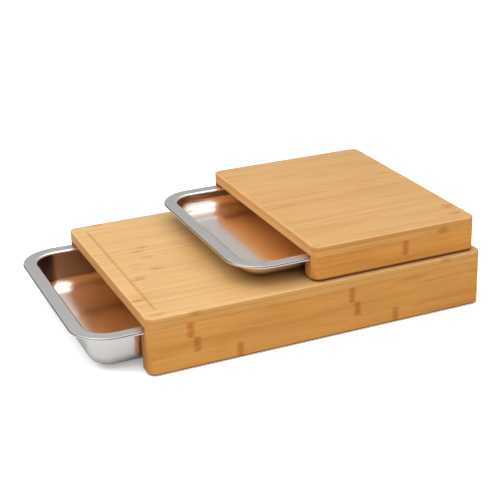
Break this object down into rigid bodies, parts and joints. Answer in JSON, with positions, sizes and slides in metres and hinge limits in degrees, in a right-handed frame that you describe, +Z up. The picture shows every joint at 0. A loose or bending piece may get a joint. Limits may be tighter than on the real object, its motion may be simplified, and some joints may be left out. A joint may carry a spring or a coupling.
{
  "type": "stacked cutting boards with sliding trays",
  "caption": "Bamboo cutting board with a steel tray that slides out underneath, carrying a shorter board that has a shallower tray of its own.",
  "frame": {"origin": "on the surface the boards stand on, under the middle of the overall box with the trays pulled out as pictured", "axes": "+X along the boards' length, away from the end where the trays pull out; +Y from front to back; +Z up"},
  "size_m": [0.4742, 0.295, 0.1078],
  "materials": {
    "bamboo_top": "oiled, fine strips along the length",
    "bamboo_under": "oiled",
    "bamboo_side": "oiled",
    "bamboo_inner": "oiled",
    "pin_wood": "plain",
    "foot_rubber": "matte",
    "tray_steel": "satin rim, bright inside"
  },
  "bodies": {
    "large_board": {"large_top_ply": "bamboo_top", "large_under_ply": "bamboo_under", "large_front_rail": "bamboo_side", "large_rear_rail": "bamboo_side", "large_front_runner": "bamboo_inner", "large_rear_runner": "bamboo_inner", "large_end_panel": "bamboo_side", "large_rail_pins": "pin_wood", "large_panel_pins": "pin_wood", "large_feet": "foot_rubber"},
    "large_tray": {"large_tray": "tray_steel"},
    "small_board": {"small_top_ply": "bamboo_top", "small_under_ply": "bamboo_under", "small_front_rail": "bamboo_side", "small_rear_rail": "bamboo_side", "small_front_runner": "bamboo_inner", "small_rear_runner": "bamboo_inner", "small_end_panel": "bamboo_side", "small_rail_pins": "pin_wood", "small_panel_pins": "pin_wood", "small_feet": "foot_rubber"},
    "small_tray": {"small_tray": "tray_steel"}
  },
  "joints": [
    {"name": "large_tray_slide", "type": "slide", "parent": "large_board", "child": "large_tray", "axis": [-1, 0, 0], "range_m": [-0.0693, 0.3252]},
    {"name": "small_board_lift", "type": "slide", "parent": "large_board", "child": "small_board", "axis": [0, 0, 1], "range_m": [0, 0.12]},
    {"name": "small_tray_slide", "type": "slide", "parent": "small_board", "child": "small_tray", "axis": [-1, 0, 0], "range_m": [-0.083, 0.1115]}
  ]
}
